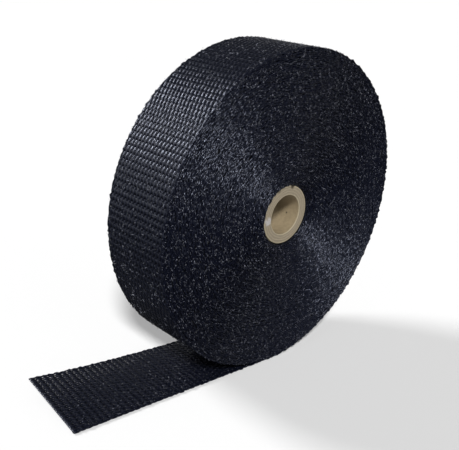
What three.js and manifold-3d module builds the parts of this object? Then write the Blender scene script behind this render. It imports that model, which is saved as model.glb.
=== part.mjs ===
// A roll of woven glass-fibre heat wrap on its cardboard tube, standing on its round side with the
// free end of the tape lying out flat. Millimetres, +Z up. The roll's axis runs along Y. The origin
// is on the floor right under that axis, halfway across the tape. The free end runs out along -X.
import * as THREE from "three";
import { mergeVertices } from "three/addons/utils/BufferGeometryUtils.js";
import Module from "manifold-3d";

// The tape and the roll that it makes
const TAPE_WIDTH = 50;
const TAPE_THICKNESS = 1.1;
const ROLL_RADIUS = 103;

// The free end: its length from the contact line to the cut, the stretch that the roll's weight
// presses flat past that line, how far it swings towards +Y, and how high its far corner curls up
const FREE_LENGTH = 151.6;
const PRESSED_LENGTH = 5;
const FREE_SWING_DEGREES = 3;
const CORNER_LIFT = 9.2;
const CURL_STEPS = 14;
const CROSS_STEPS = 3;

// The turns on both ends of the roll: each land stands for a few turns, with a groove to the next
const LAND_PITCH = 8;
const GROOVE_WIDTH = 1.6;
const GROOVE_DEPTH = 0.6;

// The cardboard tube, a little shorter than the tape is wide, and the gap to the first turn
const TUBE_OUTER_RADIUS = 19;
const TUBE_BORE_RADIUS = 12.9;
const TUBE_LENGTH = 45;
const TUBE_BEVEL = 0.5;
const WINDING_GAP = 0.3;

const ROUND_STEPS = 56;

const wasm = await Module();
wasm.setup();

// A closed geometry as a solid that can be joined or cut.
function solidOf(geometry) {
  const bare = geometry.clone();
  bare.deleteAttribute("normal");
  bare.deleteAttribute("uv");
  const merged = mergeVertices(bare);
  const mesh = new wasm.Mesh({
    numProp: 3,
    vertProperties: new Float32Array(merged.getAttribute("position").array),
    triVerts: new Uint32Array(merged.getIndex().array),
  });
  return new wasm.Manifold(mesh);
}

// A solid back as a geometry for a mesh.
function geometryOf(solid) {
  const mesh = solid.getMesh();
  const geometry = new THREE.BufferGeometry();
  geometry.setAttribute("position", new THREE.BufferAttribute(mesh.vertProperties, 3));
  geometry.setIndex(new THREE.BufferAttribute(mesh.triVerts, 1));
  geometry.computeVertexNormals();
  return geometry;
}

// One end of the roll from its bore outwards, as points of radius and depth below the end's face:
// flat lands with a groove between each two.
function turnedEnd(innerRadius, outerRadius) {
  const lands = Math.max(1, Math.round((outerRadius - innerRadius) / LAND_PITCH));
  const pitch = (outerRadius - innerRadius) / lands;
  const points = [[innerRadius, 0]];
  for (let land = 1; land < lands; land += 1) {
    const groove = innerRadius + land * pitch;
    points.push([groove - GROOVE_WIDTH / 2, 0]);
    points.push([groove, GROOVE_DEPTH]);
    points.push([groove + GROOVE_WIDTH / 2, 0]);
  }
  points.push([outerRadius, 0]);
  return points;
}

// A ring turned about the Y axis, from the same end profile on both of its ends.
function turnedRing(end, length) {
  const low = end.map(([radius, depth]) => new THREE.Vector2(radius, depth - length / 2));
  const high = end.map(([radius, depth]) => new THREE.Vector2(radius, length / 2 - depth));
  const outline = [...low, ...high.reverse(), low[0].clone()];
  return new THREE.LatheGeometry(outline, ROUND_STEPS);
}

// The wound turns, standing on the floor.
function woundTurns() {
  const end = turnedEnd(TUBE_OUTER_RADIUS + WINDING_GAP, ROLL_RADIUS);
  return turnedRing(end, TAPE_WIDTH).translate(0, 0, ROLL_RADIUS);
}

// The free end, flat on the floor where it leaves the roll, with its far corner curling up.
function freeEnd() {
  const length = FREE_LENGTH + PRESSED_LENGTH;
  const strip = new THREE.BoxGeometry(
    length, TAPE_WIDTH, TAPE_THICKNESS, CURL_STEPS, CROSS_STEPS, 1,
  );
  strip.translate(PRESSED_LENGTH - length / 2, 0, TAPE_THICKNESS / 2);
  const swing = Math.tan(THREE.MathUtils.degToRad(FREE_SWING_DEGREES));
  const places = strip.getAttribute("position");
  for (let i = 0; i < places.count; i += 1) {
    const out = Math.max(0, -places.getX(i));
    const across = places.getY(i) / TAPE_WIDTH + 0.5;
    places.setZ(i, places.getZ(i) + CORNER_LIFT * across * (out / FREE_LENGTH) ** 2);
    places.setY(i, places.getY(i) + out * swing);
  }
  return strip;
}

// One length of tape: the wound turns and the free end in one solid.
function heatWrapTape() {
  const tape = solidOf(woundTurns()).add(solidOf(freeEnd()));
  const material = new THREE.MeshStandardMaterial({
    color: 0x15161c, roughness: 0.62, metalness: 0,
  });
  const mesh = new THREE.Mesh(geometryOf(tape), material);
  mesh.name = "heat_wrap_tape";
  return mesh;
}

// The cardboard tube that the tape is wound on, with its bore through it.
function coreTube() {
  const end = [
    [TUBE_BORE_RADIUS, TUBE_BEVEL],
    [TUBE_BORE_RADIUS + TUBE_BEVEL, 0],
    [TUBE_OUTER_RADIUS - TUBE_BEVEL, 0],
    [TUBE_OUTER_RADIUS, TUBE_BEVEL],
  ];
  const material = new THREE.MeshStandardMaterial({
    color: 0xa58a6c, roughness: 0.88, metalness: 0,
  });
  const mesh = new THREE.Mesh(turnedRing(end, TUBE_LENGTH), material);
  mesh.name = "core_tube";
  mesh.position.set(0, 0, ROLL_RADIUS);
  return mesh;
}

const heatWrapRoll = new THREE.Group();
heatWrapRoll.add(heatWrapTape());
heatWrapRoll.add(coreTube());

export default heatWrapRoll;
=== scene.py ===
import math

import bmesh
import bpy
import numpy as np
from bpy.props import FloatProperty, FloatVectorProperty, IntProperty, PointerProperty
from mathutils import Matrix, Vector


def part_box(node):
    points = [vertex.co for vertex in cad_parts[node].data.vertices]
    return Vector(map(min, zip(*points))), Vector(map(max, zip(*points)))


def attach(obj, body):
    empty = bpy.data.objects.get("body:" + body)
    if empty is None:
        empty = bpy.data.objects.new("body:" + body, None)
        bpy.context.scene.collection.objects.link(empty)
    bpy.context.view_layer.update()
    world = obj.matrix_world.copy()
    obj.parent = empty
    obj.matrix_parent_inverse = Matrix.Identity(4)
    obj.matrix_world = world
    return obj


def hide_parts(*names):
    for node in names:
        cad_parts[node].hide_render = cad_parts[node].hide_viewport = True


bl_info = {
    "name": "Heat Wrap Roll",
    "version": (1, 0, 0),
    "blender": (4, 5, 0),
    "location": "View3D > Sidebar > Heat Wrap",
    "description": "Builds a roll of woven glass heat wrap on its cardboard tube",
    "category": "Object",
}

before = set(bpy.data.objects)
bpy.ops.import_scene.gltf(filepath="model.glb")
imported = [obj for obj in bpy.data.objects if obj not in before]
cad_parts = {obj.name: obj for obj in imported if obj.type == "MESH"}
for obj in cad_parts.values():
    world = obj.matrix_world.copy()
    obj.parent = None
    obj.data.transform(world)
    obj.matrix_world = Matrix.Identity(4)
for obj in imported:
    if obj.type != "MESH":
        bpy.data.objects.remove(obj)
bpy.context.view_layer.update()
TAPE_LOW, TAPE_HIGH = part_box("heat_wrap_tape")
TUBE_LOW, TUBE_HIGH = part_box("core_tube")

MM = 0.001
BODY = "root"
# The map on each piece of tape that holds its place on the flat tape, in metres.
TAPE_MAP = "tape"
# Points nearer to each other than this are one point.
SEAM = 0.01 * MM
SEED = 41
# The photograph's size in pixels, which the camera is fitted to.
PHOTO_WIDTH, PHOTO_HEIGHT = 459, 450

# The gap between the tube and the first turn, and how far out from the tube the turns lie back.
WINDING_GAP = 0.3 * MM
RECESS_REACH = 5 * MM
# The dark body stays this far inside the turns' edges, and this many turns inside the roll.
BODY_INSET = 0.7 * MM
BODY_TURNS = 2.1

# Rings along each shape and sides round it, the warp's for each pick. Yarns, loops and fibres
# are repeated hundreds of times or more, so they have few.
WARP_RINGS = 3
WARP_SIDES = 6
WEFT_RINGS = 4
WEFT_SIDES = 5
LOOP_RINGS = 6
LOOP_SIDES = 4
FIBRE_RINGS = 2
FIBRE_SIDES = 3
RING_STEPS = 144

# A weft loop: half its depth and half its thickness, and how far each of its rings bulges, as
# a share of the whole bulge, for a large loop and then a small one.
LOOP_DEPTH = 0.60 * MM
LOOP_THICKNESS = 0.55 * MM
LOOP_BULGES = (0, 0.9, 1.0, 0.1, 0.55, 0.45, 0)
# How far whole turns wander sideways.
TURN_WANDER = 0.14 * MM

# Loose fibres: how thick, how long on the ends and on the faces, and how far they turn from
# the tape's own direction on the ends.
FIBRE_RADIUS = 0.07 * MM
END_FIBRE_REACH = (0.4 * MM, 1.6 * MM)
END_FIBRE_TURN = math.radians(42)
FACE_FIBRE_REACH = (0.8 * MM, 2.4 * MM)
OUTER_TURN_FIBRES = 1500
FREE_END_FIBRES = 150
# The stretch of tape beside the contact line that is too near the floor for a fibre.
FOOT_REACH = 20 * MM

# The grain of each pattern, along the yarn and across it.
STRAND_GRAIN = (2.2 * MM, 0.22 * MM)
FILAMENT_GLINT_GRAIN = (0.60 * MM, 0.35 * MM)
FIBRE_GRAIN = (1.1 * MM, 1.1 * MM)
BODY_GRAIN = 1.5 * MM
BOARD_GRAIN = 2.2 * MM
# The black coating's reflections are a little blue.
COATING_TINT = (0.74, 0.80, 1.0)

# The tube: its broken edges in the bore and outside, and how deep every other ply lies.
BORE_BEVEL = 0.5 * MM
RIM_BEVEL = 0.4 * MM
PLY_DEPTH = 0.12 * MM
# How far the plies stray from true rings, how pale the worn edges are and from where to where
# they fade, and the tube lengths in which the ply's joint goes round once.
PLY_WAVE = 2.4 * MM
WORN_SHARE = 0.5
WORN_EDGE = (0.30 * MM, 0.75 * MM)
JOINT_LEAD = 2.4
# Marks on the tube, from its middle: dried glue and a chip on the near end, and a pin prick in
# the bore. The chip and the pin prick are painted dark as their shade.
GLUE_PLACE = (-15.6 * MM, TUBE_LOW.y, -1.6 * MM)
CHIP_PLACE = (4.1 * MM, TUBE_LOW.y, 17.9 * MM)
CHIP_WIDTH = 4.4 * MM
CHIP_DEPTH = 0.9 * MM
PRICK_PLACE = (12.4 * MM, -13.1 * MM, -3.6 * MM)

# The floor reaches the horizon and lies just under the lowest loops.
FLOOR_REACH = 60
FLOOR_DROP = 0.3 * MM


def colour(code):
    """The linear red, green and blue of an sRGB hex colour."""
    shares = [int(code[at:at + 2], 16) / 255 for at in (1, 3, 5)]
    return [s / 12.92 if s <= 0.04045 else ((s + 0.055) / 1.055) ** 2.4 for s in shares]


def size(name, description, default):
    """A length that a user may change, in metres."""
    return FloatProperty(
        name=name, description=description, default=default, unit="LENGTH", precision=5,
    )


def paint(name, description, code):
    """A colour that a user may change."""
    return FloatVectorProperty(
        name=name, description=description, default=colour(code), subtype="COLOR", min=0, max=1,
    )


class WeaveSizes(bpy.types.PropertyGroup):
    """How the tape is woven."""
    warp_count: IntProperty(
        name="Warp yarns", description="Yarns that run along the tape", default=34, min=4,
    )
    pick_pitch: size("Pick pitch", "From one weft yarn to the next", 4.1 * MM)
    warp_rise: size("Warp rise", "How far a warp yarn rises over a weft yarn", 0.33 * MM)
    warp_thickness: size("Warp thickness", "Thickness of a flattened warp yarn", 0.46 * MM)
    weft_rise: size("Weft rise", "How far a weft yarn rises over a warp yarn", 0.10 * MM)
    weft_thickness: size("Weft thickness", "Thickness of a flattened weft yarn", 0.40 * MM)
    weft_width: size("Weft width", "Width of a flattened weft yarn", 3.1 * MM)
    loop_bulge: size("Loop bulge", "How far a weft loop stands out of the edge", 0.60 * MM)
    loop_scatter: size("Loop scatter", "How far a weft loop strays from its place", 0.20 * MM)
    fibre_count: IntProperty(
        name="Loose fibres", description="Loose fibres on each end", default=7500, min=1,
    )


class RollSizes(bpy.types.PropertyGroup):
    """How the tape is wound and laid."""
    radius: size("Roll radius", "Outer radius of the roll", TAPE_HIGH.z / 2)
    width: size("Tape width", "Width of the tape", -2 * TAPE_LOW.y)
    turn_pitch: size("Turn pitch", "Thickness that each turn adds", 1.08 * MM)
    free_length: size("Free length", "From the contact line to the cut end", -TAPE_LOW.x)
    corner_lift: size("Corner lift", "How high the far corner of the free end curls", 9.2 * MM)
    swing: FloatProperty(
        name="Swing", description="Sideways swing of the free end",
        default=math.radians(3), subtype="ANGLE",
    )


class TubeSizes(bpy.types.PropertyGroup):
    """The cardboard tube."""
    outer_radius: size("Outer radius", "Outside of the tube", (TUBE_HIGH.z - TUBE_LOW.z) / 2)
    bore_radius: size("Bore radius", "Inside of the tube", 12.9 * MM)
    length: size("Length", "Length of the tube", TUBE_HIGH.y - TUBE_LOW.y)
    plies: IntProperty(name="Plies", description="Paper layers in the wall", default=7, min=2)


class Finishes(bpy.types.PropertyGroup):
    """The colours of the object and its surroundings."""
    warp: paint("Warp", "Black glass yarn along the tape", "#060814")
    # A little darker than the warp: painted shade for the weft, which lies low between the
    # floats.
    weft: paint("Weft", "Black glass yarn across the tape", "#04060f")
    # Pale grey of uncoated glass, painted on the yarns as glints and used for the loose fibres.
    fleck_glint: paint("Fleck", "Bare glass filaments in the yarn", "#979aa8")
    body: paint("Body", "Inside of the winding", "#07080c")
    board: paint("Board", "Kraft board of the tube", "#84765d")
    board_cut: paint("Cut board", "Cut ends of the tube", "#827866")
    board_edge: paint("Board edge", "Worn edges of the tube", "#9f967e")
    glue: paint("Glue", "Dried glue on the tube", "#a9a9ad")
    floor: paint("Floor", "Floor", "#dcdcdc")


class StageSizes(bpy.types.PropertyGroup):
    """The camera, as fitted to the photograph."""
    place: FloatVectorProperty(
        name="Camera place", description="Where the camera stands", subtype="TRANSLATION",
        default=(-0.3280, -0.2895, 0.2477),
    )
    heading: FloatProperty(
        name="Heading", description="Turn of the camera from straight ahead",
        default=math.radians(-42.44), subtype="ANGLE",
    )
    pitch: FloatProperty(
        name="Pitch", description="How far the camera looks down",
        default=math.radians(22.50), subtype="ANGLE",
    )
    roll: FloatProperty(
        name="Roll", description="Lean of the camera", default=math.radians(4.0), subtype="ANGLE",
    )
    focal_px: FloatProperty(
        name="Focal length", description="Focal length in image pixels", default=704.7,
    )
    centre_px: FloatVectorProperty(
        name="Optical centre", description="Where the optical axis meets the image, in pixels",
        size=2, default=(184, 250),
    )


SETTINGS = (
    ("heat_wrap_weave", WeaveSizes),
    ("heat_wrap_roll", RollSizes),
    ("heat_wrap_tube", TubeSizes),
    ("heat_wrap_finish", Finishes),
    ("heat_wrap_stage", StageSizes),
)


def settings(name):
    """One group of settings."""
    return getattr(bpy.context.scene, "heat_wrap_" + name)


# Materials

def node(tree, kind, inputs=(), **values):
    """Adds a node and sets it up: inputs are linked to sockets or set to numbers, and the other
    values are its own settings or further inputs."""
    made = tree.nodes.new(kind)
    for key, value in values.items():
        if hasattr(made, key):
            setattr(made, key, value)
        else:
            made.inputs[key.replace("_", " ")].default_value = value
    for key, source in dict(inputs).items():
        if isinstance(source, bpy.types.NodeSocket):
            tree.links.new(source, made.inputs[key])
        else:
            made.inputs[key].default_value = source
    return made


def calc(tree, operation, first, second=0.0):
    """The result of one math node."""
    return node(tree, "ShaderNodeMath", {0: first, 1: second}, operation=operation).outputs[0]


def step(tree, value, low, high):
    """A soft step: 0 below low and 1 above high, or the other way round where low is higher."""
    made = node(
        tree, "ShaderNodeMapRange", {"Value": value}, interpolation_type="SMOOTHSTEP",
        From_Min=low, From_Max=high,
    )
    return made.outputs[0]


def mix(tree, share, first, second):
    """One colour, and a second laid over it where share is 1."""
    # On a colour mix, sockets 6 and 7 are the two colours and output 2 is the result.
    made = node(tree, "ShaderNodeMix", {"Factor": share, 6: first, 7: second}, data_type="RGBA")
    return made.outputs[2]


def new_material(name):
    """An empty material with its shader and output."""
    material = bpy.data.materials.new(name)
    material.use_nodes = True
    tree = material.node_tree
    tree.nodes.clear()
    shader = node(tree, "ShaderNodeBsdfPrincipled")
    node(tree, "ShaderNodeOutputMaterial", {"Surface": shader.outputs[0]})
    return material, tree, shader


def rgba(value, share=1.0):
    """A colour with full alpha, made darker or lighter by a share."""
    return (*(share * part for part in value), 1.0)


def tape_pattern(tree, along, across, detail=2.0):
    """Noise on the tape's own map, with one grain size along the yarns and one across them."""
    place = node(tree, "ShaderNodeUVMap", uv_map=TAPE_MAP)
    scaled = node(
        tree, "ShaderNodeMapping", {"Vector": place.outputs[0]},
        Scale=(1 / along, 1 / across, 1),
    )
    return node(
        tree, "ShaderNodeTexNoise", {"Vector": scaled.outputs[0]},
        Scale=1.0, Detail=detail, Roughness=0.6,
    )


def ramp(tree, source, stops):
    """A colour ramp over a grey value, from pairs of place and colour."""
    made = node(tree, "ShaderNodeValToRGB", {"Fac": source})
    parts = made.color_ramp.elements
    while len(parts) < len(stops):
        parts.new(0.5)
    for part, (place, value) in zip(parts, stops):
        part.position = place
        part.color = value
    return made


MATERIAL_OF = {
    "warp": "glass_warp_coated",
    "weft": "glass_weft_coated",
    "edge": "glass_edge_coated",
    "fibre": "glass_fibre_bare",
}


def glass_yarn(name, base, glint_level, roughness, specular):
    """Texturised glass yarn with a black heat coating: navy black, with a broken sheen on each
    float, and pale flecks painted into its colour as glints where uncoated filaments stand out of
    it."""
    _, tree, shader = new_material(name)
    strands = tape_pattern(tree, *STRAND_GRAIN).outputs["Fac"]
    shade = ramp(tree, strands, (
        (0.30, rgba(base, 0.6)),
        (0.70, rgba(base, 1.4)),
    ))
    # Painted highlights: pale flecks in the colour stand for the glints of uncoated filaments.
    # These are far finer than a pixel, so the flecks are drawn about half a millimetre long.
    filaments = tape_pattern(tree, *FILAMENT_GLINT_GRAIN, detail=0.0).outputs["Fac"]
    painted_glint = step(tree, filaments, glint_level, glint_level + 0.10)
    fleck_glint = rgba(settings("finish").fleck_glint)
    tree.links.new(mix(tree, painted_glint, shade.outputs[0], fleck_glint), shader.inputs["Base Color"])
    gloss = node(
        tree, "ShaderNodeMapRange", {"Value": strands},
        From_Min=0.3, From_Max=0.7, To_Min=roughness - 0.08, To_Max=roughness + 0.10,
    )
    tree.links.new(gloss.outputs[0], shader.inputs["Roughness"])
    bump = node(tree, "ShaderNodeBump", {"Height": strands}, Strength=0.6, Distance=0.12 * MM)
    tree.links.new(bump.outputs[0], shader.inputs["Normal"])
    shader.inputs["Specular IOR Level"].default_value = specular
    shader.inputs["Specular Tint"].default_value = rgba(COATING_TINT)


def bare_fibre():
    """Bare glass fibres that have worked loose: pale grey, each one a little lighter or darker,
    and the lightest painted lighter still as highlights, so that they read as fine glints on the
    black weave."""
    _, tree, shader = new_material(MATERIAL_OF["fibre"])
    base = settings("finish").fleck_glint
    tone = tape_pattern(tree, *FIBRE_GRAIN, detail=1.0).outputs["Fac"]
    # The lightest fibres are half again as light as the pale grey: painted highlights for their
    # glints.
    shade = ramp(tree, tone, (
        (0.42, rgba(base, 0.08)),
        (0.74, rgba(base, 1.5)),
    ))
    tree.links.new(shade.outputs[0], shader.inputs["Base Color"])
    shader.inputs["Roughness"].default_value = 0.25
    shader.inputs["Specular IOR Level"].default_value = 0.9


def yarn_materials():
    """The finishes of the warp, the weft, the edge loops and the loose fibres."""
    finish = settings("finish")
    for kind, base, glint_level, roughness, specular in (
        ("warp", finish.warp, 0.78, 0.28, 0.60),
        # The weft's colour is a little darker than the warp's: painted shade between the floats.
        ("weft", finish.weft, 0.80, 0.55, 0.15),
        ("edge", finish.warp, 0.76, 0.25, 0.42),
    ):
        glass_yarn(MATERIAL_OF[kind], base, glint_level, roughness, specular)
    bare_fibre()


def winding_inside():
    """The shaded inside of the winding, seen only between yarns: matt and nearly black."""
    material, tree, shader = new_material("glass_winding_shaded")
    place = node(tree, "ShaderNodeTexCoord")
    grain = node(
        tree, "ShaderNodeTexNoise", {"Vector": place.outputs["Object"]}, Scale=1 / BODY_GRAIN,
    )
    base = settings("finish").body
    shade = ramp(tree, grain.outputs["Fac"], (
        (0.35, rgba(base, 0.5)),
        (0.65, rgba(base)),
    ))
    tree.links.new(shade.outputs[0], shader.inputs["Base Color"])
    shader.inputs["Roughness"].default_value = 0.9
    shader.inputs["Specular IOR Level"].default_value = 0.1
    return material


def near(tree, place, point, low, high):
    """1 within low of a point on the tube and 0 beyond high. The point is measured from the
    tube's middle."""
    gap = node(
        tree, "ShaderNodeVectorMath", {0: place, 1: point}, operation="DISTANCE",
    ).outputs["Value"]
    return step(tree, gap, high, low)


def place_on_tube(tree):
    """A point's place from the middle of the tube, the parts of that place, and its distance
    from the tube's axis."""
    coordinates = node(tree, "ShaderNodeTexCoord").outputs["Object"]
    place = node(
        tree, "ShaderNodeVectorMath",
        {0: coordinates, 1: (0, 0, -settings("roll").radius)}, operation="ADD",
    ).outputs[0]
    parts = node(tree, "ShaderNodeSeparateXYZ", {0: place}).outputs
    round_place = node(
        tree, "ShaderNodeCombineXYZ", {"X": parts["X"], "Y": 0.0, "Z": parts["Z"]},
    ).outputs[0]
    radius = node(
        tree, "ShaderNodeVectorMath", {0: round_place}, operation="LENGTH",
    ).outputs["Value"]
    return place, parts, radius


def bore_colour(tree, parts, fibres):
    """Tan board, with the helical butt joint of the innermost ply as a thin dark line."""
    board = settings("finish").board
    paper = ramp(tree, fibres, ((0.32, rgba(board, 0.80)), (0.64, rgba(board)))).outputs[0]
    turn = calc(tree, "ARCTAN2", parts["Z"], parts["X"])
    lead = calc(tree, "MULTIPLY", parts["Y"], math.tau / (JOINT_LEAD * settings("tube").length))
    phase = calc(tree, "SINE", calc(tree, "ADD", turn, lead))
    joint = calc(tree, "MULTIPLY", step(tree, phase, 0.9990, 0.9998), 0.5)
    return mix(tree, joint, paper, rgba(board, 0.4))


def ply_rings(tree, radius, fibres):
    """The plies on a cut end as rings, -1 and 1 in turn, made wavy by the fibres."""
    tube = settings("tube")
    wavy = calc(tree, "ADD", radius, calc(tree, "MULTIPLY", fibres, PLY_WAVE))
    ply = (tube.outer_radius - tube.bore_radius) / tube.plies
    return calc(tree, "SINE", calc(tree, "MULTIPLY", wavy, math.tau / (2 * ply)))


def cut_colour(tree, radius, rings):
    """A cut end: plies darker and lighter in turn, with a paler worn edge inside and outside."""
    tube = settings("tube")
    finish = settings("finish")
    plies = mix(
        tree, step(tree, rings, -0.8, 0.8), rgba(finish.board_cut, 0.82), rgba(finish.board_cut),
    )
    full, gone = WORN_EDGE
    worn = calc(
        tree, "MAXIMUM",
        step(tree, radius, tube.bore_radius + gone, tube.bore_radius + full),
        step(tree, radius, tube.outer_radius - gone, tube.outer_radius - full),
    )
    return mix(tree, calc(tree, "MULTIPLY", worn, WORN_SHARE), plies, rgba(finish.board_edge))


def kraft_board():
    """Spirally wound kraft board: matt and tan in the bore, greyer on the cut ends, where the
    plies show as fine rings with a paler worn edge inside and outside."""
    material, tree, shader = new_material("kraft_board_spiral_wound")
    finish = settings("finish")
    place, parts, radius = place_on_tube(tree)
    fibres = node(
        tree, "ShaderNodeTexNoise", {"Vector": place},
        Scale=1 / BOARD_GRAIN, Detail=6.0, Roughness=0.68,
    ).outputs["Fac"]
    rings = ply_rings(tree, radius, fibres)
    # A dried smear of clear glue on the near end, left of the bore.
    ragged = calc(tree, "MULTIPLY", fibres, near(tree, place, GLUE_PLACE, 1.4 * MM, 5.6 * MM))
    smear = calc(tree, "MULTIPLY", step(tree, ragged, 0.24, 0.60), 0.65)
    cut = mix(tree, smear, cut_colour(tree, radius, rings), rgba(finish.glue))
    half = settings("tube").length / 2
    end = step(tree, calc(tree, "ABSOLUTE", parts["Y"]), half - 0.55 * MM, half - 0.30 * MM)
    whole = mix(tree, end, bore_colour(tree, parts, fibres), cut)
    # Painted shade: a dark dot for the pin prick in the bore, and the chip in the near end's
    # upper edge painted dark as the shade in its hollow.
    prick = near(tree, place, PRICK_PLACE, 0.4 * MM, 0.8 * MM)
    chip = near(tree, place, CHIP_PLACE, 0.9 * MM, CHIP_WIDTH / 2)
    whole = mix(tree, calc(tree, "MAXIMUM", prick, chip), whole, rgba(finish.board, 0.2))
    tree.links.new(whole, shader.inputs["Base Color"])
    # The glue is smoother than the board.
    gloss = calc(tree, "SUBTRACT", 0.88, calc(tree, "MULTIPLY", smear, 0.45))
    tree.links.new(gloss, shader.inputs["Roughness"])
    height = calc(tree, "ADD", fibres, calc(tree, "MULTIPLY", rings, 0.15))
    bump = node(tree, "ShaderNodeBump", {"Height": height}, Strength=0.5, Distance=0.2 * MM)
    tree.links.new(bump.outputs[0], shader.inputs["Normal"])
    shader.inputs["Specular IOR Level"].default_value = 0.3
    return material


# Shapes

def new_piece(name, bm):
    """A bmesh as an object in the scene."""
    mesh = bpy.data.meshes.new(name)
    bm.to_mesh(mesh)
    bm.free()
    piece = bpy.data.objects.new(name, mesh)
    bpy.context.scene.collection.objects.link(piece)
    return piece


def finish_piece(piece, material):
    """Shades a piece smooth, gives it its finish and lets it ride on the part."""
    piece.data.shade_smooth()
    piece.data.materials.clear()
    piece.data.materials.append(material)
    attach(piece, BODY)
    return piece


def finish_yarn(piece, kind):
    """Gives a piece of the tape the finish of its kind of yarn."""
    return finish_piece(piece, bpy.data.materials[MATERIAL_OF[kind]])


def add_yarn(bm, rings, sides, place):
    """A grid rolled into a run of yarn. place gives a point for a share of its length and an
    angle round it."""
    grid = bmesh.ops.create_grid(bm, x_segments=rings, y_segments=sides, size=0.5)["verts"]
    for vert in grid:
        vert.co = place(vert.co.x + 0.5, math.tau * (vert.co.y + 0.5))
    bmesh.ops.remove_doubles(bm, verts=grid, dist=SEAM)


def repeat(piece, count, offset, merge):
    """Repeats a piece in a row and applies the row."""
    row = piece.modifiers.new("row", "ARRAY")
    row.count = count
    row.use_relative_offset = False
    row.use_constant_offset = True
    row.constant_offset_displace = offset
    row.use_merge_vertices = merge
    row.merge_threshold = SEAM
    graph = bpy.context.evaluated_depsgraph_get()
    mesh = bpy.data.meshes.new_from_object(piece.evaluated_get(graph))
    piece.modifiers.clear()
    plain = piece.data
    piece.data = mesh
    bpy.data.meshes.remove(plain)


def close_ends(piece):
    """Fills the open ends of the yarns and points all faces outwards."""
    bm = bmesh.new()
    bm.from_mesh(piece.data)
    rims = [edge for edge in bm.edges if edge.is_boundary]
    bmesh.ops.holes_fill(bm, edges=rims, sides=0)
    bmesh.ops.recalc_face_normals(bm, faces=bm.faces)
    bm.to_mesh(piece.data)
    bm.free()


def points_of(mesh):
    """A mesh's points as rows of x, y and z."""
    flat = np.empty(3 * len(mesh.vertices), dtype=np.float32)
    mesh.vertices.foreach_get("co", flat)
    return flat.reshape(-1, 3).astype(np.float64)


def map_to_tape(mesh):
    """Stores each corner's place on the flat tape, in metres, as the piece's own map."""
    places = points_of(mesh)[:, :2]
    corners = np.empty(len(mesh.loops), dtype=np.int32)
    mesh.loops.foreach_get("vertex_index", corners)
    layer = mesh.uv_layers.new(name=TAPE_MAP)
    layer.uv.foreach_set("vector", places[corners].astype(np.float32).ravel())


def turn_radius(along):
    """The winding's radius at a length of tape from the contact line."""
    roll = settings("roll")
    first = roll.radius - roll.turn_pitch / 2
    return np.sqrt(first ** 2 - roll.turn_pitch * np.maximum(along, 0.0) / math.pi)


def recess(radius):
    """How far the turns lie back near the tube, whose ends the innermost ones lie level with."""
    tube = settings("tube")
    depth = (settings("roll").width - tube.length) / 2
    return depth * np.clip(1 - (radius - tube.outer_radius) / RECESS_REACH, 0, 1)


def wind(mesh):
    """Winds a flat mesh onto the roll. Along the tape, 0 is the contact line on the floor, the
    free end lies before it, and the third axis points out of the roll."""
    roll = settings("roll")
    map_to_tape(mesh)
    along, across, out = points_of(mesh).T
    first = roll.radius - roll.turn_pitch / 2
    radius = turn_radius(along)
    angle = math.tau / roll.turn_pitch * (first - radius)
    free = np.maximum(-along, 0.0)
    lift = roll.corner_lift * (across / roll.width + 0.5) * (free / roll.free_length) ** 2
    x = (radius + out) * np.sin(angle) - free
    y = across + free * math.tan(roll.swing)
    z = roll.radius - (radius + out) * np.cos(angle) + lift
    mesh.vertices.foreach_set("co", np.stack([x, y, z], axis=1).astype(np.float32).ravel())
    # The third axis points down on the floor, so winding turns the faces inside out.
    mesh.flip_normals()
    mesh.update()


def cell_length():
    """Two picks: the stretch of tape after which the weave repeats."""
    return 2 * settings("weave").pick_pitch


def free_cells():
    """How many whole cells cover the free end."""
    return math.ceil(settings("roll").free_length / cell_length())


def wound_length():
    """The length of tape from the contact line to the tube."""
    roll = settings("roll")
    first = roll.radius - roll.turn_pitch / 2
    last = settings("tube").outer_radius + roll.turn_pitch / 2
    return math.pi * (first ** 2 - last ** 2) / roll.turn_pitch


def warp_cell(bm):
    """Two warp yarns over two picks: each floats over one and dives under the other."""
    weave = settings("weave")
    spacing = settings("roll").width / weave.warp_count
    length = cell_length()

    def run(side):
        def place(share, turn):
            height = math.sin(math.tau * share + math.pi * side)
            # A yarn spreads where it floats and is pinched where it dives.
            wide = spacing * (0.47 + 0.05 * height)
            thick = weave.warp_thickness / 2 * (1 + 0.1 * height)
            return Vector((
                share * length,
                (side + 0.5) * spacing + wide * math.cos(turn),
                weave.warp_rise * height + thick * math.sin(turn),
            ))
        return place

    for side in (0, 1):
        add_yarn(bm, 2 * WARP_RINGS, WARP_SIDES, run(side))


def weft_cell(bm):
    """Two weft yarns under and over two warp yarns, flat and wide."""
    weave = settings("weave")
    spacing = settings("roll").width / weave.warp_count

    def run(pick):
        def place(share, turn):
            height = -math.cos(math.tau * (share - 0.25) + math.pi * pick)
            return Vector((
                (pick + 0.5) * weave.pick_pitch + weave.weft_width / 2 * math.cos(turn),
                share * 2 * spacing,
                weave.weft_rise * height + weave.weft_thickness / 2 * math.sin(turn),
            ))
        return place

    for pick in (0, 1):
        add_yarn(bm, WEFT_RINGS, WEFT_SIDES, run(pick))


def weave_piece(name, cell, start, cells):
    """A stretch of warp or weft: the cell repeated along and across the tape, then wound."""
    weave = settings("weave")
    roll = settings("roll")
    bm = bmesh.new()
    cell(bm)
    bmesh.ops.translate(bm, verts=bm.verts, vec=(start, -roll.width / 2, 0))
    piece = new_piece(name, bm)
    # Warp yarns are joined end to end along the tape, and weft yarns across it.
    repeat(piece, cells, (cell_length(), 0, 0), cell is warp_cell)
    across = 2 * roll.width / weave.warp_count
    repeat(piece, weave.warp_count // 2, (0, across, 0), cell is weft_cell)
    close_ends(piece)
    loosen(piece.data, weave.warp_rise * 0.12)
    wind(piece.data)
    return piece


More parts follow.
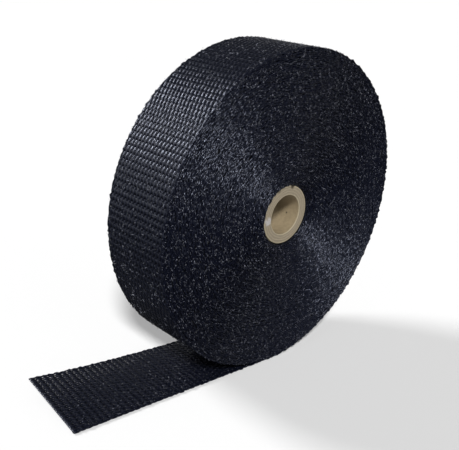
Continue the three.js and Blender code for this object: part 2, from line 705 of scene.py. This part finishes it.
def loosen(mesh, amount):
    """Small slow waves, so that no two floats are alike."""
    places = points_of(mesh)
    along, across = places[:, 0] / MM, places[:, 1] / MM
    wave = np.sin(along * 0.71 + 3 * np.sin(across * 0.37)) + np.sin(across * 1.9 + along * 0.23)
    places[:, 2] += amount * wave / 2
    places[:, 1] += 0.6 * amount * np.sin(along * 0.47 + across * 2.3)
    mesh.vertices.foreach_set("co", places.astype(np.float32).ravel())


def edge_piece(name, side, start, cells):
    """The tape's edge on one side: weft loops bulge over it, a large one and a small one by
    turns."""
    weave = settings("weave")
    bm = bmesh.new()

    def place(share, turn):
        ring = round(share * LOOP_RINGS)
        edge = settings("roll").width / 2 - LOOP_DEPTH + weave.loop_bulge * LOOP_BULGES[ring]
        return Vector((
            start + share * cell_length(),
            side * (edge + LOOP_DEPTH * math.cos(turn)),
            LOOP_THICKNESS * math.sin(turn),
        ))

    add_yarn(bm, LOOP_RINGS, LOOP_SIDES, place)
    piece = new_piece(name, bm)
    repeat(piece, cells, (cell_length(), 0, 0), True)
    close_ends(piece)
    vary_loops(piece.data, side, start)
    wind(piece.data)
    return piece


def vary_loops(mesh, side, start):
    """Shifts each ring of an edge its own way, so that no two loops are alike, and lets whole
    turns wander sideways."""
    weave = settings("weave")
    places = points_of(mesh)
    ring = np.rint((places[:, 0] - start) / cell_length() * LOOP_RINGS).astype(int)
    draw = np.random.RandomState(SEED + side)
    shifts = draw.normal(0, 1, (3, ring.max() + 1))
    along, across, out = shifts[:, ring]
    metres = places[:, 0]
    # Two waves along the whole tape that never fall into step.
    wander = TURN_WANDER * (np.sin(metres * 9.1) + np.sin(metres * 23.7 + 1.3))
    wander -= recess(turn_radius(metres))
    # The free end lies on the floor, so its loops only stray upwards.
    out = np.where(metres < 0, -np.abs(out), out)
    places[:, 0] += weave.loop_scatter * along
    places[:, 1] += side * (weave.loop_scatter * across + wander)
    places[:, 2] += weave.loop_scatter * out
    mesh.vertices.foreach_set("co", places.astype(np.float32).ravel())


def fibre_piece(name, seed, outward, run):
    """Loose fibres, each a thin rod that arches out of the weave. run draws their two ends in
    the tape's own space. Real filaments are hundredths of a millimetre thick, so each rod stands
    for a small bundle that can be seen at all."""
    draw = np.random.RandomState(seed)
    first, last = run(draw)
    bm = bmesh.new()
    add_yarn(bm, FIBRE_RINGS, FIBRE_SIDES, lambda share, turn: Vector((
        share, math.cos(turn), math.sin(turn),
    )))
    piece = new_piece(name, bm)
    # Each fibre is one unit long and they lie two units apart, so a point's place tells which
    # fibre it is on and where.
    apart = 2
    repeat(piece, len(first), (apart, 0, 0), False)
    close_ends(piece)
    flat = points_of(piece.data)
    which = np.floor(flat[:, 0] / apart + 0.25).astype(int)
    share = (flat[:, 0] - apart * which)[:, None]
    chord = (last - first)[which]
    aside = np.cross(outward, chord)
    aside /= np.linalg.norm(aside, axis=1)[:, None]
    arch = draw.uniform(0.15, 0.45, len(first))[which][:, None]
    height = arch * np.linalg.norm(chord, axis=1)[:, None] * np.sin(math.pi * share)
    thick = FIBRE_RADIUS * draw.uniform(0.7, 1.3, len(first))[which][:, None]
    places = first[which] + chord * share + outward * (height + thick * flat[:, 2:3])
    places += aside * thick * flat[:, 1:2]
    piece.data.vertices.foreach_set("co", places.astype(np.float32).ravel())
    wind(piece.data)
    return piece


def ring_piece(name, outline):
    """A closed ring, spun about the roll's axis from an outline of radius and place across."""
    bm = bmesh.new()
    verts = [bm.verts.new((radius, across, 0)) for radius, across in outline]
    edges = [bm.edges.new((verts[i - 1], verts[i])) for i in range(len(verts))]
    bmesh.ops.spin(
        bm, geom=verts + edges, cent=(0, 0, 0), axis=(0, 1, 0), angle=math.tau,
        steps=RING_STEPS, use_merge=True, use_duplicate=False,
    )
    bmesh.ops.remove_doubles(bm, verts=bm.verts, dist=SEAM)
    bmesh.ops.recalc_face_normals(bm, faces=bm.faces)
    bmesh.ops.translate(bm, verts=bm.verts, vec=(0, 0, settings("roll").radius))
    return new_piece(name, bm)


# Operators

class HEATWRAP_OT_winding_body(bpy.types.Operator):
    """Make the dark inside of the winding"""
    bl_idname = "heat_wrap.winding_body"
    bl_label = "Winding Body"

    def execute(self, context):
        roll = settings("roll")
        inner = settings("tube").outer_radius + WINDING_GAP
        outer = roll.radius - BODY_TURNS * roll.turn_pitch
        half = roll.width / 2 - BODY_INSET
        end = [(radius, half - recess(radius)) for radius in (inner, inner + RECESS_REACH, outer)]
        outline = end + [(radius, -across) for radius, across in reversed(end)]
        piece = ring_piece("winding_body", outline)
        finish_piece(piece, winding_inside())
        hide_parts("heat_wrap_tape")
        return {"FINISHED"}


class HEATWRAP_OT_outer_turn(bpy.types.Operator):
    """Weave the roll's outer turn"""
    bl_idname = "heat_wrap.outer_turn"
    bl_label = "Outer Turn"

    def execute(self, context):
        roll = settings("roll")
        start = free_cells() * cell_length() - roll.free_length
        cells = math.ceil(math.tau * roll.radius / cell_length())
        finish_yarn(weave_piece("outer_turn_warp", warp_cell, start, cells), "warp")
        finish_yarn(weave_piece("outer_turn_weft", weft_cell, start, cells), "weft")
        return {"FINISHED"}


class HEATWRAP_OT_free_end(bpy.types.Operator):
    """Weave the free end on the floor"""
    bl_idname = "heat_wrap.free_end"
    bl_label = "Free End"

    def execute(self, context):
        roll = settings("roll")
        start = -roll.free_length
        cells = free_cells()
        weft = finish_yarn(weave_piece("free_end_weft", weft_cell, start, cells), "weft")
        others = [finish_yarn(weave_piece("free_end_warp", warp_cell, start, cells), "warp")]
        for name, side in (("free_end_front_edge", -1), ("free_end_back_edge", 1)):
            others.append(finish_yarn(edge_piece(name, side, start, cells), "edge"))
        return {"FINISHED"}


class HEATWRAP_OT_turn_edges(bpy.types.Operator):
    """Wind the edges of all turns on both ends of the roll"""
    bl_idname = "heat_wrap.turn_edges"
    bl_label = "Turn Edges"

    def execute(self, context):
        start = free_cells() * cell_length() - settings("roll").free_length
        cells = int((wound_length() - start) / cell_length())
        for name, side in (("front_turn_edges", -1), ("back_turn_edges", 1)):
            finish_yarn(edge_piece(name, side, start, cells), "edge")
        return {"FINISHED"}


class HEATWRAP_OT_loose_fibres(bpy.types.Operator):
    """Scatter loose glass fibres on the roll's ends and on the woven faces"""
    bl_idname = "heat_wrap.loose_fibres"
    bl_label = "Loose Fibres"

    def execute(self, context):
        self.on_ends()
        self.on_faces()
        return {"FINISHED"}

    def on_ends(self):
        """Short fibres on both ends of the roll, most of them roughly along its turns."""
        count = settings("weave").fibre_count
        half = settings("roll").width / 2

        def run(side):
            def ends(draw):
                along = draw.uniform(0.01, wound_length(), count)
                # Rooted in the loops or just over them.
                above = draw.uniform(-0.1, 0.45, count) * MM
                across = side * (half + above - recess(turn_radius(along)))
                out = draw.uniform(-0.5, 0.5, count) * MM
                first = np.stack([along, across, out], axis=1)
                reach = draw.uniform(*END_FIBRE_REACH, count)
                turn = draw.normal(0, END_FIBRE_TURN, count)
                step_out = np.stack([
                    reach * np.cos(turn), draw.normal(0, 0.15 * MM, count), reach * np.sin(turn),
                ], axis=1)
                return first, first + step_out
            return ends

        for name, side in (("front_loose_fibres", -1), ("back_loose_fibres", 1)):
            outward = np.array([0.0, side, 0.0])
            finish_yarn(fibre_piece(name, SEED + 10 + side, outward, run(side)), "fibre")

    def on_faces(self):
        """Longer single fibres on the outer turn and on top of the free end."""
        roll = settings("roll")

        def run(low, high, level, count):
            def ends(draw):
                along = draw.uniform(low, high, count)
                across = draw.uniform(-0.49, 0.49, count) * roll.width
                first = np.stack([along, across, np.full(count, level)], axis=1)
                reach = draw.uniform(*FACE_FIBRE_REACH, count)
                turn = draw.uniform(0, math.tau, count)
                step_out = np.stack([
                    reach * np.cos(turn), reach * np.sin(turn), np.zeros(count),
                ], axis=1)
                return first, first + step_out
            return ends

        # The fibres start just over the highest floats, clear of the free end's two ends.
        level = settings("weave").warp_rise + 0.1 * MM
        last = math.tau * roll.radius - FOOT_REACH
        margin = 10 * MM
        for name, side, low, high, count in (
            ("outer_turn_loose_fibres", 1, FOOT_REACH, last, OUTER_TURN_FIBRES),
            ("free_end_loose_fibres", -1, margin - roll.free_length, -margin, FREE_END_FIBRES),
        ):
            outward = np.array([0.0, 0.0, side])
            ends = run(low, high, side * level, count)
            finish_yarn(fibre_piece(name, SEED + 20 + side, outward, ends), "fibre")


def chip_edge(mesh):
    """Breaks a small chip out of the tube's near end."""
    places = points_of(mesh)
    gap = np.linalg.norm(places - (0, 0, settings("roll").radius) - CHIP_PLACE, axis=1)
    places[:, 1] += CHIP_DEPTH * np.clip(1 - gap / (CHIP_WIDTH / 2), 0, 1)
    mesh.vertices.foreach_set("co", places.astype(np.float32).ravel())
    mesh.update()


class HEATWRAP_OT_core_tube(bpy.types.Operator):
    """Make the cardboard tube"""
    bl_idname = "heat_wrap.core_tube"
    bl_label = "Core Tube"

    def execute(self, context):
        tube = settings("tube")
        half = tube.length / 2
        ply = (tube.outer_radius - tube.bore_radius) / tube.plies
        end = [(tube.bore_radius, half - BORE_BEVEL)]
        for number in range(tube.plies):
            inner = tube.bore_radius + number * ply
            depth = PLY_DEPTH * (number % 2)
            end.append((inner + 0.15 * ply, half - depth))
            end.append((inner + 0.85 * ply, half - depth))
        end.append((tube.outer_radius, half - RIM_BEVEL))
        outline = end + [(radius, -across) for radius, across in reversed(end)]
        piece = ring_piece("cardboard_tube", outline)
        chip_edge(piece.data)
        finish_piece(piece, kraft_board())
        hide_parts("core_tube")
        return {"FINISHED"}


def sun_light(name, direction, width, power):
    """A broad even light from one direction, width degrees across."""
    data = bpy.data.lights.new(name, "SUN")
    data.angle = math.radians(width)
    data.energy = power
    lamp = bpy.data.objects.new(name, data)
    bpy.context.scene.collection.objects.link(lamp)
    lamp.rotation_euler = Vector(direction).to_track_quat("Z", "Y").to_euler()


class HEATWRAP_OT_stage(bpy.types.Operator):
    """Make the floor, the lights and the camera"""
    bl_idname = "heat_wrap.stage"
    bl_label = "Stage"

    def execute(self, context):
        self.floor()
        self.lights()
        self.camera(context)
        return {"FINISHED"}

    def floor(self):
        """Matt pale paper, very faintly cloudy."""
        bm = bmesh.new()
        bmesh.ops.create_grid(bm, x_segments=1, y_segments=1, size=FLOOR_REACH)
        bmesh.ops.translate(bm, verts=bm.verts, vec=(0, 0, -FLOOR_DROP))
        piece = new_piece("floor", bm)
        material, tree, shader = new_material("floor_pale_paper")
        place = node(tree, "ShaderNodeTexCoord")
        cloud = node(tree, "ShaderNodeTexNoise", {"Vector": place.outputs["Object"]}, Scale=3.0)
        base = settings("finish").floor
        shade = ramp(tree, cloud.outputs["Fac"], (
            (0.3, rgba(base, 0.985)),
            (0.7, rgba(base)),
        ))
        tree.links.new(shade.outputs[0], shader.inputs["Base Color"])
        shader.inputs["Roughness"].default_value = 1.0
        shader.inputs["Specular IOR Level"].default_value = 0.0
        piece.data.materials.append(material)
        # The sheen of the object in the photograph shows no white floor.
        piece.visible_glossy = False

    def lights(self):
        """Two broad lights and a studio's pale walls."""
        # The first gives the sheen on the roll's end, the second the bright band on its outside.
        sun_light("key_front_left", (-0.50, -0.55, 0.67), width=10, power=4.0)
        sun_light("key_behind", (-0.37, 0.74, 0.56), width=20, power=2.4)
        world = bpy.data.worlds.new("studio")
        bpy.context.scene.world = world
        world.use_nodes = True
        tree = world.node_tree
        # White at the horizon, like a studio's walls, and dim overhead and below, so that the
        # black yarns keep the depth that they have in the photograph.
        way = node(tree, "ShaderNodeTexCoord").outputs["Generated"]
        rise = node(tree, "ShaderNodeSeparateXYZ", {0: way}).outputs["Z"]
        walls = calc(
            tree, "MULTIPLY", step(tree, rise, -0.06, -0.01), step(tree, rise, 0.30, 0.12),
        )
        shade = mix(tree, walls, rgba((0.10, 0.10, 0.10)), rgba((1, 1, 1)))
        tree.links.new(shade, tree.nodes["Background"].inputs["Color"])

    def camera(self, context):
        """The camera at the photograph's viewing angle."""
        stage = settings("stage")
        data = bpy.data.cameras.new("camera")
        data.sensor_fit = "HORIZONTAL"
        data.sensor_width = 36
        data.lens = stage.focal_px * data.sensor_width / PHOTO_WIDTH
        data.shift_x = (PHOTO_WIDTH / 2 - stage.centre_px[0]) / PHOTO_WIDTH
        data.shift_y = (stage.centre_px[1] - PHOTO_HEIGHT / 2) / PHOTO_WIDTH
        data.clip_start = 0.01
        camera = bpy.data.objects.new("camera", data)
        context.scene.collection.objects.link(camera)
        level = math.cos(stage.pitch)
        back = Vector((
            math.sin(stage.heading) * level,
            -math.cos(stage.heading) * level,
            math.sin(stage.pitch),
        ))
        right = (-back).cross(Vector((0, 0, 1))).normalized()
        up = right.cross(-back)
        turned = Matrix.Rotation(stage.roll, 3, back)
        axes = Matrix((turned @ right, turned @ up, back)).transposed()
        camera.matrix_world = Matrix.Translation(stage.place) @ axes.to_4x4()
        context.scene.camera = camera
        context.scene.view_settings.view_transform = "Standard"


STEPS = (
    HEATWRAP_OT_winding_body,
    HEATWRAP_OT_outer_turn,
    HEATWRAP_OT_free_end,
    HEATWRAP_OT_turn_edges,
    HEATWRAP_OT_loose_fibres,
    HEATWRAP_OT_core_tube,
    HEATWRAP_OT_stage,
)


class HEATWRAP_PT_panel(bpy.types.Panel):
    """The steps that build the roll, in order"""
    bl_label = "Heat Wrap Roll"
    bl_idname = "HEATWRAP_PT_panel"
    bl_space_type = "VIEW_3D"
    bl_region_type = "UI"
    bl_category = "Heat Wrap"

    def draw(self, context):
        for name, group in SETTINGS:
            box = self.layout.box()
            box.label(text=group.__doc__)
            for key in group.__annotations__:
                box.prop(getattr(context.scene, name), key)
        for operator in STEPS:
            self.layout.operator(operator.bl_idname)


def register():
    for name, group in SETTINGS:
        bpy.utils.register_class(group)
        setattr(bpy.types.Scene, name, PointerProperty(type=group))
    for operator in STEPS:
        bpy.utils.register_class(operator)
    bpy.utils.register_class(HEATWRAP_PT_panel)


def unregister():
    bpy.utils.unregister_class(HEATWRAP_PT_panel)
    for operator in reversed(STEPS):
        bpy.utils.unregister_class(operator)
    for name, group in reversed(SETTINGS):
        delattr(bpy.types.Scene, name)
        bpy.utils.unregister_class(group)


def main():
    register()
    yarn_materials()
    bpy.ops.heat_wrap.winding_body()
    bpy.ops.heat_wrap.outer_turn()
    bpy.ops.heat_wrap.free_end()
    bpy.ops.heat_wrap.turn_edges()
    bpy.ops.heat_wrap.loose_fibres()
    bpy.ops.heat_wrap.core_tube()
    bpy.ops.heat_wrap.stage()


if __name__ == "__main__":
    main()
